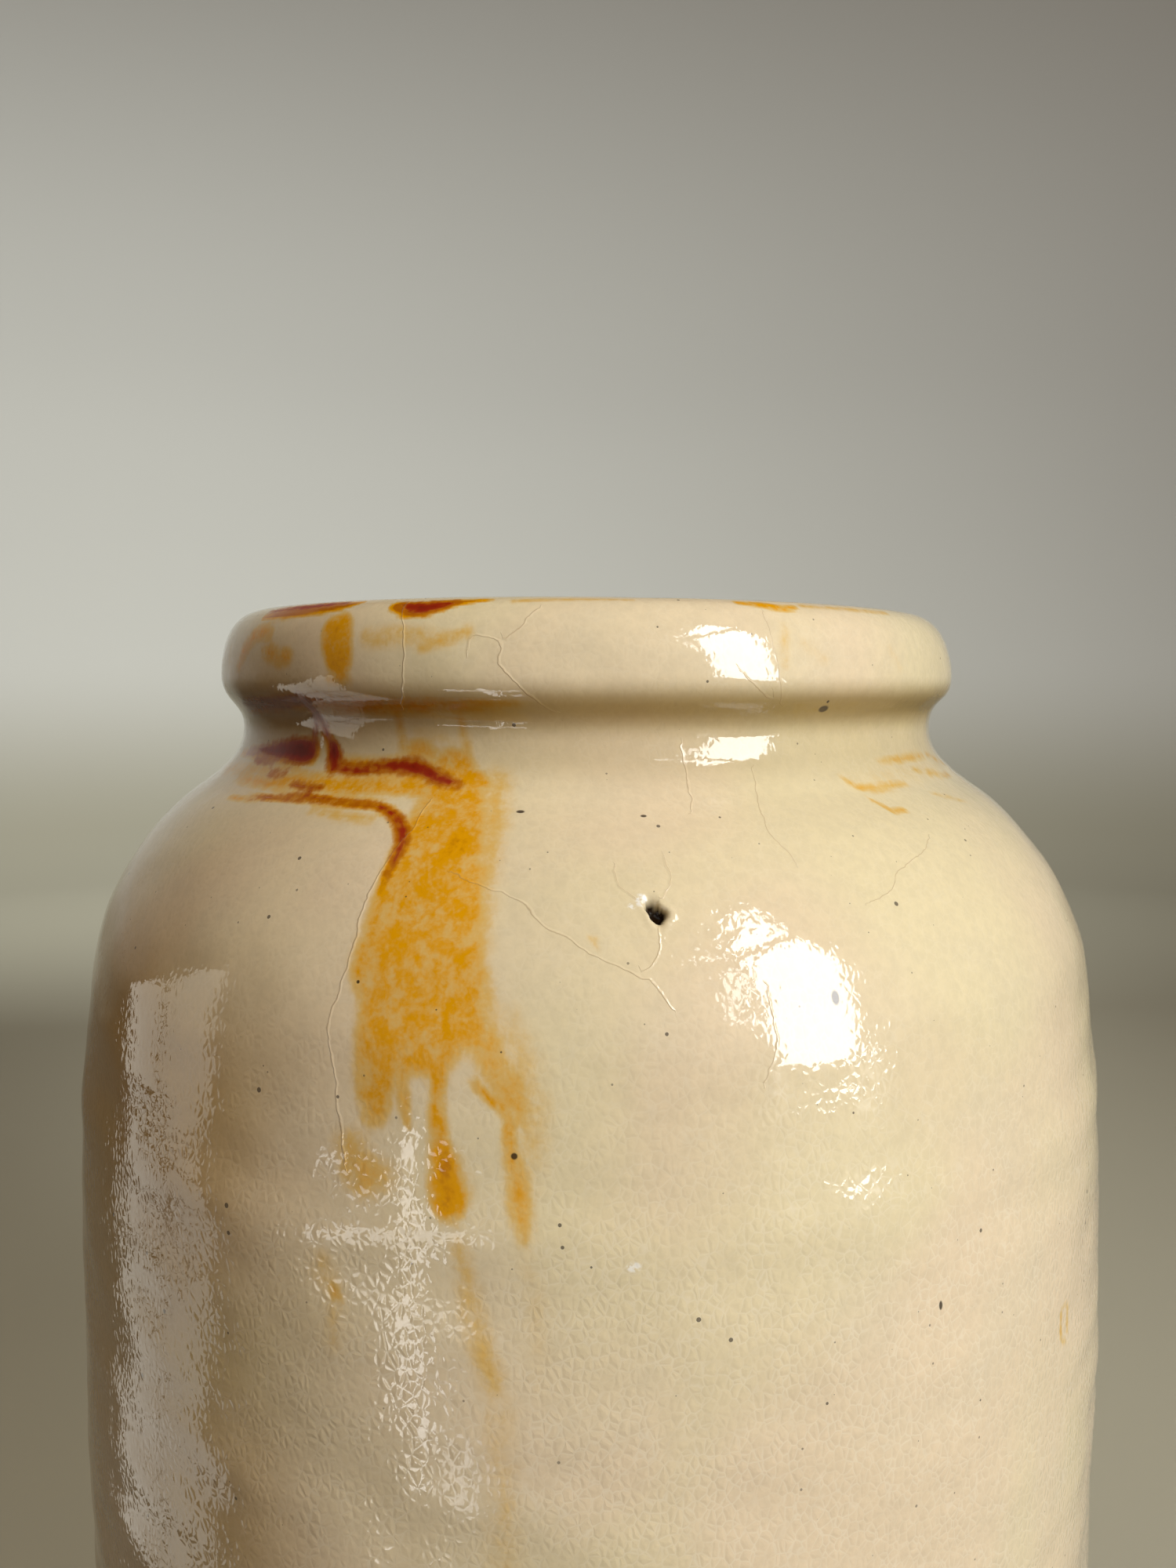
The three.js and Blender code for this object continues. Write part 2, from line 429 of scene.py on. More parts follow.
# Rust that ran down from the neck: (strength, softness, [(azimuth, height, half-width)...])
AMBER = (
    # the broad run over the shoulder, with its denser heart and left border
    (0.70, 1.3, ((-16.5, 209, 3.0), (-15.2, 204.5, 4.6), (-14.9, 200, 5.6), (-14.1, 195.5, 6.0),
                 (-13.8, 191, 6.5), (-13.4, 187, 7.0), (-13.2, 185.2, 6.2))),
    (0.98, 3.0, ((-13.3, 204.5, 1.2), (-13.2, 201.3, 2.6), (-15.0, 198.2, 2.2), (-16.4, 196.8, 0.8))),
    (0.86, 1.6, ((-18.9, 199, 0.8), (-19.0, 194, 0.9), (-19.3, 190, 1.1), (-19.0, 187.5, 0.6))),
    (0.80, 2.2, ((-13.4, 194.5, 0.8), (-13.2, 189, 1.2), (-12.6, 186.2, 0.8))),
    (0.50, 2.6, ((-10.6, 208.6, 1.2), (-10.0, 204, 1.6), (-9.8, 199, 1.4), (-9.4, 192, 1.3))),
    # the left leg
    (0.64, 1.3, ((-16.3, 187, 3.6), (-16.6, 183, 3.0), (-16.8, 178, 2.4), (-16.9, 175, 1.6))),
    (0.84, 0.8, ((-14.9, 184.8, 0.6), (-14.5, 181, 0.5), (-14.2, 176, 0.4), (-14.0, 174, 0.2))),
    (0.58, 2.4, ((-18.7, 170.8, 1.6), (-17.6, 168.2, 2.0), (-15.9, 168.6, 1.0))),
    # the middle drip
    (1.00, 1.0, ((-11.0, 186.5, 1.0), (-11.3, 183.5, 0.7), (-11.5, 180, 0.6), (-11.6, 176, 0.7),
                 (-11.4, 173, 0.9), (-11.1, 170.6, 1.3), (-10.8, 168.2, 1.9), (-10.6, 166.6, 1.8),
                 (-10.5, 165.4, 0.8))),
    (0.40, 1.4, ((-10.0, 171, 0.8), (-9.5, 168, 0.9), (-9.3, 166.8, 0.4))),
    # the right leg, with the dark tide line on its lower edge
    (0.56, 1.4, ((-10.2, 188.5, 3.2), (-8.9, 184.5, 2.4), (-7.4, 181.2, 1.9), (-6.0, 178.4, 1.8),
                 (-5.4, 175.8, 1.3))),
    (0.90, 0.8, ((-8.7, 178.6, 0.35), (-7.4, 177.0, 0.4), (-6.2, 175.9, 0.5), (-6.0, 173.5, 0.5),
                 (-5.9, 171.8, 0.4), (-5.7, 169.5, 0.3))),
    (0.58, 1.3, ((-5.8, 172.5, 0.8), (-5.3, 168.5, 1.3), (-5.0, 165.8, 1.2), (-4.8, 163.2, 0.5))),
    (0.28, 2.6, ((-6.4, 184.5, 2.0), (-4.9, 179.5, 2.4), (-4.4, 174.5, 2.2), (-4.4, 168.5, 1.2))),
    # the faint run below them
    (0.40, 2.2, ((-9.7, 162, 0.8), (-9.0, 157, 1.0), (-8.2, 152.5, 1.3), (-7.2, 148, 1.3))),
    (0.26, 3.0, ((-7.0, 148, 1.5), (-6.5, 140, 1.6), (-6.3, 128, 1.8), (-6.0, 112, 1.4), (-6.4, 98, 0.8))),
    (0.20, 3.0, ((-4.6, 163, 1.0), (-4.0, 156, 1.0), (-3.6, 148, 0.6))),
    (0.80, 0.7, ((-19.9, 155.5, 0.7), (-19.7, 154.9, 0.6))),
    (0.30, 2.4, ((-21.0, 158, 1.6), (-19.8, 155, 1.0), (-20.0, 150, 0.8))),
    # the smear between the two red lines, and the halos round them
    (0.72, 1.2, ((-56, 206.4, 0.6), (-48, 206.4, 1.1), (-40, 207.0, 1.5), (-30, 207.0, 1.7),
                 (-22, 207.4, 1.6), (-16.5, 207.2, 1.8))),
    (0.95, 1.0, ((-34.6, 209.6, 0.6), (-27, 209.4, 0.9), (-22, 209.5, 1.0), (-16.6, 208.3, 1.1),
                 (-13.4, 208.3, 1.0), (-11.6, 207.8, 0.5))),
    (1.30, 0.75, ((-52, 204.3, 0.1), (-45.6, 204.8, 0.4), (-39.5, 205.2, 0.6), (-33.4, 205.4, 0.6),
                  (-28.5, 205.2, 0.6), (-24.5, 205.1, 0.6), (-21.6, 204.2, 0.7), (-19.6, 202.8, 0.8),
                  (-18.9, 201.1, 0.8), (-19.1, 199.0, 0.7), (-19.4, 196.4, 0.3))),
    (0.60, 1.2, ((-33, 204.2, 0.4), (-28, 203.9, 0.7), (-24, 203.6, 0.5))),
    (0.78, 1.4, ((-23.5, 211.2, 0.5), (-21.5, 211.6, 0.9), (-19.0, 210.8, 0.6))),
    # what is left of it on the neck and under the lip
    (0.46, 0.9, ((-24.4, 217, 0.7), (-24.4, 213.6, 0.6), (-24.0, 210.4, 0.6))),
    (0.42, 1.0, ((-15.7, 215.5, 0.5), (-15.2, 212.5, 0.7), (-15.0, 209.6, 0.8))),
    (0.30, 1.6, ((-22.0, 213.6, 0.5), (-18.5, 213.2, 0.9))),
    (1.05, 1.0, ((-66, 216.0, 0.8), (-54, 216.4, 1.1), (-43, 217.0, 1.1), (-36, 217.2, 0.9))),
    # this band in the groove is partly a real amber stain and partly painted shade under the lip
    (0.78, 1.0, ((-36, 217.1, 1.0), (-26, 217.0, 1.0), (-16, 217.0, 0.8), (-8, 217.2, 0.2))),
    (1.05, 0.7, ((-64, 209.6, 0.5), (-56, 209.9, 0.8), (-47, 210.2, 1.6), (-40.2, 210.6, 1.8))),
    (0.55, 1.4, ((-70, 207.2, 0.8), (-62, 207.4, 1.0), (-52, 208.0, 1.0), (-42, 208.6, 0.8))),
    (0.95, 0.6, ((-39.6, 217.4, 0.9), (-38.6, 215.6, 0.8), (-37.6, 213, 0.8), (-35.8, 210.8, 1.0),
                 (-34.8, 209.2, 0.9))),
    # ochre patches on the lip
    (0.86, 0.9, ((-32.8, 226.0, 2.5), (-32.2, 223.8, 2.5), (-31.7, 222.0, 2.0))),
    (0.52, 0.9, ((-33.4, 220.1, 0.7), (-30.2, 219.9, 0.8))),
    (0.42, 1.5, ((-27.5, 225.0, 1.2), (-23.0, 225.2, 1.3), (-18.5, 225.2, 0.9))),
    (0.60, 1.3, ((-19.6, 224.0, 0.6), (-17.2, 224.6, 0.7), (-13.8, 225.6, 0.5))),
    (0.74, 1.2, ((-56.0, 222.0, 0.9), (-53.6, 224.6, 1.2), (-50.6, 226.2, 1.2), (-47.5, 225.8, 1.0))),
    (0.66, 1.2, ((-47.2, 223.6, 1.1), (-43.8, 222.8, 1.2), (-41.6, 222.9, 1.0))),
    (1.20, 0.7, ((-68.4, 220.8, 0.6), (-67.6, 219.4, 0.8), (-65.5, 218.2, 0.5))),
    (0.26, 1.8, ((-62.0, 224.0, 1.0), (-60.0, 220.0, 1.2))),
    (0.32, 1.1, ((25.4, 226.6, 0.5), (24.8, 224.2, 0.6), (24.6, 221.6, 0.3))),
    (0.22, 1.6, ((28.0, 224.6, 0.8), (31.0, 222.6, 0.6))),
    (0.20, 1.6, ((44.0, 224.0, 0.7), (46.0, 221.8, 0.5))),
    # brown in the worn bevel of the crest
    (1.30, 0.5, ((-52, 228.3, 0.4), (-46, 228.6, 1.0), (-40, 228.9, 1.2), (-34, 229.2, 0.9),
                  (-31, 229.6, 0.2))),
    (1.40, 0.5, ((-24.6, 228.8, 0.9), (-21.8, 228.4, 1.3), (-19.0, 228.7, 1.1), (-16.0, 229.2, 0.6),
                  (-12.0, 229.5, 0.2))),
    (0.45, 0.5, ((-9, 229.3, 0.4), (-3, 229.5, 0.3), (6, 229.5, 0.2))),
    (0.85, 0.5, ((20, 229.5, 0.4), (23.4, 229.3, 0.7), (26.4, 228.9, 0.7), (28.5, 229.2, 0.4))),
    (0.40, 0.6, ((30, 229.4, 0.5), (38, 229.3, 0.5), (48, 229.2, 0.5))),
    # rubbed streaks on the right of the collar
    (0.60, 0.7, ((34.5, 207.8, 0.3), (36.5, 206.6, 0.5), (40.5, 206.3, 0.5), (46.5, 206.8, 0.4))),
    (0.50, 0.8, ((44, 209.4, 0.3), (52, 209.6, 0.6), (60, 209.8, 0.4))),
    (0.48, 0.8, ((52, 208.2, 0.3), (58, 207.2, 0.5), (66, 206.4, 0.3))),
    (0.52, 0.7, ((62, 209.8, 0.3), (67, 208.6, 0.4), (72, 207.4, 0.2))),
    (0.74, 0.5, ((36.4, 205.3, 0.2), (37.6, 204.5, 0.35), (38.6, 203.7, 0.4), (40.8, 204.0, 0.3))),
    (0.36, 0.8, ((50, 205.2, 0.2), (54, 204.4, 0.5), (58, 203.4, 0.2))),
    (0.18, 3.5, ((36, 207.4, 1.2), (50, 207.8, 1.8), (66, 208.0, 1.2))),
    # a small spot on the shoulder
    (0.80, 0.45, ((0.5, 192.9, 0.25), (0.6, 192.3, 0.2))),
    # stray runs on the sides and back
    (0.34, 2.6, ((-108, 207, 1.4), (-110, 196, 2.2), (-112, 182, 1.6), (-111.5, 168, 0.8))),
    (0.55, 1.4, ((-128, 208.5, 1.0), (-116, 207.6, 1.4), (-104, 208.2, 0.8))),
    (0.42, 1.6, ((148, 224.8, 1.0), (153, 224.0, 1.4), (158, 222.6, 0.9))),
    (0.30, 2.4, ((152, 207.8, 1.0), (151, 199, 1.5), (152, 188, 0.8))),
    (0.80, 0.5, ((118, 229.3, 0.3), (124, 229.2, 0.5), (133, 229.4, 0.3))),
    (0.90, 0.4, ((-150, 229.3, 0.3), (-142, 229.1, 0.5), (-134, 229.3, 0.3))),
)

# The drawn outline of an old drip that dried on the right
AMBER_RING_AZIMUTH, AMBER_RING_Z, AMBER_RING_HALF_WIDTH, AMBER_RING_HALF_HEIGHT = 48.7, 139.8, 0.9, 2.6

# Dark iron lines and patches, given the same way but with a crisp edge
RED = (
    ((-34.3, 209.1, 0.6), (-30.4, 208.9, 0.55), (-26.7, 209.3, 0.6), (-22.3, 209.5, 0.8),
     (-20, 208.9, 0.7), (-17.2, 208.1, 0.6), (-15.2, 207.7, 0.1)),
    ((-47.5, 204.7, -0.30), (-45.6, 204.8, 0.0), (-39.5, 205.2, 0.22), (-33.4, 205.4, 0.28),
     (-28.5, 205.2, 0.22), (-24.5, 205.1, 0.24), (-21.6, 204.2, 0.34), (-19.6, 202.8, 0.42),
     (-18.9, 201.1, 0.38), (-19.1, 199.2, 0.1), (-19.3, 197.2, -0.4)),
    ((-39.8, 217.5, 0.5), (-38.8, 216.2, 0.6), (-38.1, 214.4, 0.35), (-37, 212.3, 0.25),
     (-35.8, 211.2, 0.8), (-35.2, 210, 0.9), (-34.6, 209, 0.7)),
    ((-39.0, 215.6, 0.35), (-40.0, 213.0, 0.25), (-40.4, 211.2, 0.3)),
    ((-61, 209.8, 0.15), (-55, 210.2, 0.4), (-50, 210.5, 0.9), (-45.5, 210.7, 1.3), (-42, 210.7, 1.6),
     (-40.4, 210.5, 1.1)),
    ((-60, 216.4, 0.2), (-54, 216.7, 0.45), (-47, 216.9, 0.4), (-41, 217.3, 0.4)),
    ((-48, 207.7, 0.05), (-45.6, 207.6, 0.22), (-43.6, 207.7, 0.05)),
    ((-55, 208.9, 0.05), (-52, 209.0, 0.25), (-49, 209.1, 0.05)),
    ((-40.6, 206.9, 0.0), (-38.8, 206.5, 0.15), (-34.6, 206.6, 0.0)),
    ((-36.3, 206.2, 0.2), (-35.6, 205.6, 0.3)),
    ((-24.0, 229.0, 0.3), (-21.5, 228.6, 0.9), (-18.6, 228.8, 0.7), (-16.4, 229.2, 0.2)),
    ((-52, 229.0, 0.0), (-46, 229.2, 0.4), (-38, 229.4, 0.5), (-34, 229.6, 0.2)),
)

# Long cracks in the glaze, as lines of (azimuth, height)
CRACKS = (
    ((-18.0, 205.8), (-18.6, 203.0), (-19.7, 199.9), (-20.5, 195.6), (-20.4, 191.0), (-20.9, 187.5),
     (-21.5, 183.0), (-20.4, 178.5), (-20.0, 174.3), (-19.1, 169.1)),
    ((-12.6, 198.8), (-9.5, 197.7), (-6.1, 196.3), (-3.5, 194.1), (0.5, 191.5), (4.9, 188.9), (6.6, 186)),
    ((-23.4, 229.2), (-22.6, 226.4), (-21.7, 223.5), (-22.2, 218.9), (-22.9, 217)),
    ((-5.9, 228.4), (-7.4, 226.2), (-9.4, 224.3), (-9.7, 221.6), (-6.6, 218.4), (-3.8, 216.4)),
    ((-13.6, 223.4), (-13.3, 225.2), (-11.0, 225.0), (-9.4, 224.3)),
    ((22.9, 228.2), (23.0, 224.5), (23.6, 221.7), (24.3, 217.9)),
    ((18.6, 221.4), (21.0, 219.2), (24.3, 217.4)),
    ((40.2, 200.6), (36.4, 199.0), (32.5, 197.8), (30.0, 196.0), (26.8, 195.1)),
    ((21.0, 209.4), (20.2, 205.9), (19.4, 202.7), (20.6, 199.6)),
    ((12.0, 212.4), (12.2, 207.8), (11.4, 205.2)),
    ((6.6, 196.9), (7.6, 198.6), (7.4, 200.6)),
    ((4.6, 196.6), (3.0, 198.0), (2.6, 199.6)),
    ((6.0, 194.2), (6.2, 192.4), (5.2, 190.4)),
    ((14.6, 187.6), (14.9, 182.6), (13.8, 178.6)),
    ((95, 228.8), (97, 222), (94, 214), (99, 203), (97, 190)),
    ((-97, 228.6), (-94, 219), (-99, 208)),
    ((170, 205), (164, 196), (166, 184), (158, 172)),
    ((-140, 202), (-133, 194), (-136, 182)),
)


def amber_ring():
    """The oval tide line of the drip on the right, as one more stroke."""
    turns = np.linspace(0, 2 * math.pi, 13)
    return (0.62, 0.45, [(AMBER_RING_AZIMUTH + AMBER_RING_HALF_WIDTH * math.sin(t),
                          AMBER_RING_Z + AMBER_RING_HALF_HEIGHT * math.cos(t), 0.22) for t in turns])


# ---------------------------------------------------------------- materials

class Nodes:
    """Builds a node material; every method returns an output socket."""

    def __init__(self, name):
        self.material = bpy.data.materials.new(name)
        self.material.use_nodes = True
        self.tree = self.material.node_tree
        self.shader = self.tree.nodes["Principled BSDF"]
        self.object_mm = self.scaled(self.add("ShaderNodeTexCoord").outputs["Object"], (1 / MM,) * 3)

    def add(self, kind, inputs=None, **settings):
        node = self.tree.nodes.new(kind)
        for name, value in settings.items():
            setattr(node, name, value)
        for name, value in (inputs or {}).items():
            self.plug(node.inputs[name], value)
        return node

    def plug(self, socket, value):
        if isinstance(value, bpy.types.NodeSocket):
            self.tree.links.new(value, socket)
        elif hasattr(socket.default_value, "__len__") and len(value) < len(socket.default_value):
            socket.default_value = (*value, 1)
        else:
            socket.default_value = value

    def scaled(self, vector, factors):
        return self.add("ShaderNodeVectorMath", {0: vector, 1: factors}, operation="MULTIPLY").outputs[0]

    def value(self, name):
        """A number stored at each vertex."""
        return self.add("ShaderNodeAttribute", attribute_name=name).outputs["Fac"]

    def height(self):
        """Height above the foot in mm."""
        return self.add("ShaderNodeSeparateXYZ", {0: self.object_mm}).outputs["Z"]

    def math(self, operation, a, b=0.0):
        return self.add("ShaderNodeMath", {0: a, 1: b}, operation=operation).outputs[0]

    def total(self, first, *others):
        for other in others:
            first = self.math("ADD", first, other)
        return first

    def fit(self, value, low, high, to_low=0.0, to_high=1.0):
        """Maps low..high to to_low..to_high with a smooth turn at each end."""
        return self.add("ShaderNodeMapRange", {"Value": value, "From Min": low, "From Max": high,
                                               "To Min": to_low, "To Max": to_high},
                        interpolation_type="SMOOTHSTEP").outputs[0]

    def noise(self, size, detail=2.0, vector=None, distortion=0.0, roughness=0.5):
        """Noise with features of that size in mm."""
        where = self.object_mm if vector is None else vector
        return self.add("ShaderNodeTexNoise", {"Vector": where, "Scale": 1 / size, "Detail": detail,
                                               "Roughness": roughness, "Distortion": distortion})

    def cells(self, size, feature="F1", vector=None, randomness=1.0):
        where = self.object_mm if vector is None else vector
        return self.add("ShaderNodeTexVoronoi", {"Vector": where, "Scale": 1 / size,
                                                 "Randomness": randomness}, feature=feature)

    def mix(self, factor, a, b, blend="MIX"):
        node = self.add("ShaderNodeMix", data_type="RGBA", blend_type=blend)
        for index, value in ((0, factor), (6, a), (7, b)):
            self.plug(node.inputs[index], value)
        return node.outputs[2]

    def shifted(self, size, amount, vector=None):
        """Coordinates pushed about by noise, so that straight patterns wander."""
        where = self.object_mm if vector is None else vector
        push = self.add("ShaderNodeVectorMath", {0: self.noise(size).outputs["Color"],
                                                 1: (0.5, 0.5, 0.5)}, operation="SUBTRACT").outputs[0]
        push = self.scaled(push, (amount,) * 3)
        return self.add("ShaderNodeVectorMath", {0: where, 1: push}, operation="ADD").outputs[0]

    def bump(self, height, depth, normal=None, strength=1.0):
        """A bump whose height of 1 stands depth mm proud."""
        inputs = {"Height": height, "Distance": depth * MM, "Strength": strength}
        if normal is not None:
            inputs["Normal"] = normal
        return self.add("ShaderNodeBump", inputs).outputs[0]


def crazing(nodes, size, warp=0.5, stretch=(1, 1, 1)):
    """The net of fine cracks in a glaze: (crack line mask, height of the pillows between the cracks)."""
    where = nodes.scaled(nodes.shifted(size * 2.2, size * warp), stretch)
    gap = nodes.cells(size, "DISTANCE_TO_EDGE", where).outputs["Distance"]
    line = nodes.fit(gap, 0.0, 0.10, 1, 0)
    return line, nodes.fit(gap, 0.0, 0.42)


def specks(nodes, spacing, radius, share):
    """Sparse dark specks: a mask, 1 inside a speck."""
    cell = nodes.cells(spacing)
    kept = nodes.add("ShaderNodeSeparateColor", {0: cell.outputs["Color"]})
    size = nodes.math("MULTIPLY", kept.outputs[1], radius / spacing)
    inside = nodes.math("LESS_THAN", cell.outputs["Distance"], size)
    chosen = nodes.math("LESS_THAN", kept.outputs[0], share)
    return nodes.math("MULTIPLY", inside, chosen)


def spot(nodes, azimuth, z, radius, stretch=(1, 1, 1)):
    """A soft-edged spot at one place on the outside: 1 inside it."""
    r, height = OUTSIDE.at(OUTSIDE.s_of_z(z))
    centre = place(float(r), float(height), float(azimuth), outside_wander)
    away = nodes.add("ShaderNodeVectorMath", {0: nodes.object_mm, 1: tuple(-centre)}, operation="ADD")
    away = nodes.scaled(away.outputs[0], stretch)
    distance = nodes.add("ShaderNodeVectorMath", {0: away}, operation="LENGTH").outputs["Value"]
    return nodes.fit(distance, radius * 0.7, radius * 1.2, 1, 0)


CREAM_PINK = (0.80, 0.655, 0.455)
CREAM_YELLOW = (0.79, 0.685, 0.44)
CREAM_GREY = (0.71, 0.62, 0.44)
# olive of the glaze pooled in the groove, darkened further as painted shade under the lip
POOLED_OLIVE_AND_SHADE = (0.38, 0.30, 0.13)
# painted shade for the left side, away from the window
SHADE_BROWN = (0.70, 0.57, 0.32)
CRAZE_TAN = (0.50, 0.33, 0.17)
CRAZE_PALE = (0.90, 0.82, 0.66)
RUST_PALE = (0.76, 0.50, 0.15)
RUST_AMBER = (0.79, 0.36, 0.001)
RUST_DEEP = (0.50, 0.15, 0.003)
RUST_RED = (0.33, 0.018, 0.002)
RUST_DARK = (0.19, 0.007, 0.001)
IRON = (0.05, 0.035, 0.03)
CHIP_AND_GLINT_PALE = (0.93, 0.89, 0.80)
PIT_DARK = (0.035, 0.02, 0.012)
CONTENTS_BROWN = (0.42, 0.27, 0.11)
BASE_DIRT = (0.47, 0.34, 0.19)
CLAY_DARK, CLAY_LIGHT = (0.50, 0.33, 0.18), (0.66, 0.49, 0.30)
CREST_RUST = (0.25, 0.09, 0.02)
CLAY_DIRT = (0.24, 0.16, 0.09)
PORE_DARK = (0.10, 0.07, 0.045)
RUBBED_PALE = (0.70, 0.56, 0.38)
BACKDROP_LOW, BACKDROP_HIGH = (0.37, 0.36, 0.29), (0.58, 0.59, 0.56)

GROOVE_Z = 216.6  # the deepest line of the groove under the lip
CRAZE_SIZE = 1.0  # the outside's crazing cells, in mm
GLAZE_IOR = 1.56

# Named spots on the outside: (azimuth, height, radius, stretch that squeezes it along X, Y and Z)
DARK_SPOTS = (
    (29.5, 150.9, 0.42, (1.6, 1.6, 0.8)),
    (20.7, 186.1, 0.75, (1.5, 1.5, 0.8)),
    (32.0, 216.6, 0.65, (0.8, 0.8, 1.4)),
    (32.1, 217.5, 0.22, (1, 1, 1)),
    (6.1, 204.6, 0.26, (0.7, 0.7, 1.8)),
    (-7.2, 205.0, 0.30, (0.6, 0.6, 1.8)),
    (-5.6, 171.5, 0.36, (1, 1, 1)),
    (-19.3, 187.8, 0.20, (1, 1, 1)),
)
# Pale chips in the glaze; the two spots at 4.7 and 3.9 degrees beside the crater are a painted highlight, the
# glint on the blister's rim
PALE_CHIPS_AND_GLINT = (
    (3.3, 160.5, 0.62, (0.8, 1, 1.1)),
    (4.7, 196.5, 0.70, (1, 1, 0.8)),
    (3.9, 195.9, 0.45, (1, 1, 1)),
    (-38.4, 211.9, 0.55, (1.6, 1.6, 0.6)),
)


def cream(nodes):
    """The glaze's own colour: pinkish and yellowish clouds with a fine mottle."""
    cloud = nodes.fit(nodes.noise(38, 1.5, distortion=0.4).outputs["Fac"], 0.34, 0.66)
    colour = nodes.mix(cloud, CREAM_PINK, CREAM_YELLOW)
    grey = nodes.fit(nodes.noise(17, 4).outputs["Fac"], 0.50, 0.74)
    colour = nodes.mix(nodes.math("MULTIPLY", grey, 0.35), colour, CREAM_GREY)
    mottle = nodes.fit(nodes.noise(1.5, 4, roughness=0.65).outputs["Fac"], 0.3, 0.7, 0.96, 1.03)
    return nodes.mix(1.0, colour, nodes.add("ShaderNodeCombineColor",
                                            {0: mottle, 1: mottle, 2: mottle}).outputs[0], "MULTIPLY")


def finish_glaze(nodes, colour, normal, roughness=0.042, dull=0.0):
    shader = nodes.shader
    nodes.plug(shader.inputs["Base Color"], colour)
    nodes.plug(shader.inputs["Normal"], normal)
    patchy = nodes.fit(nodes.noise(9, 3).outputs["Fac"], 0.35, 0.7, roughness * 0.75, roughness * 1.5)
    nodes.plug(shader.inputs["Roughness"], nodes.math("ADD", patchy, dull))
    shader.inputs["IOR"].default_value = GLAZE_IOR
    return nodes.material


def rusted(nodes, colour):
    """Lays the amber runs and the dark iron lines over a colour."""
    amber, red = nodes.value("amber"), nodes.value("red")
    mottle = nodes.noise(2.0, 3, nodes.shifted(5, 2.5), roughness=0.6).outputs["Fac"]
    fine = nodes.noise(0.55, 2).outputs["Fac"]
    streak = nodes.noise(1.6, 2, nodes.scaled(nodes.object_mm, (1, 1, 0.28))).outputs["Fac"]
    grain = nodes.total(nodes.fit(mottle, 0.34, 0.66, 0.74, 1.12), nodes.fit(streak, 0.3, 0.7, -0.13, 0.13),
                        nodes.fit(fine, 0.3, 0.7, -0.09, 0.09))
    thick = nodes.math("MULTIPLY", amber, grain)
    # the thickest stain is even, however the thin stain is mottled
    thick = nodes.mix(nodes.fit(amber, 0.75, 1.25), thick, amber)
    thick = nodes.add("ShaderNodeSeparateColor", {0: thick}).outputs[0]
    colour = nodes.mix(nodes.fit(thick, 0.03, 0.42, 0, 0.92), colour, RUST_PALE)
    colour = nodes.mix(nodes.fit(thick, 0.30, 0.86), colour, RUST_AMBER)
    colour = nodes.mix(nodes.fit(thick, 0.85, 1.35), colour, RUST_DEEP)
    ragged = nodes.math("ADD", red, nodes.fit(nodes.noise(1.1, 3).outputs["Fac"], 0.3, 0.7, -0.22, 0.20))
    colour = nodes.mix(nodes.fit(ragged, -0.90, -0.10, 0, 0.95), colour, RUST_DEEP)
    colour = nodes.mix(nodes.fit(ragged, -0.20, 0.42), colour, RUST_RED)
    return nodes.mix(nodes.fit(ragged, 0.40, 1.1), colour, RUST_DARK)


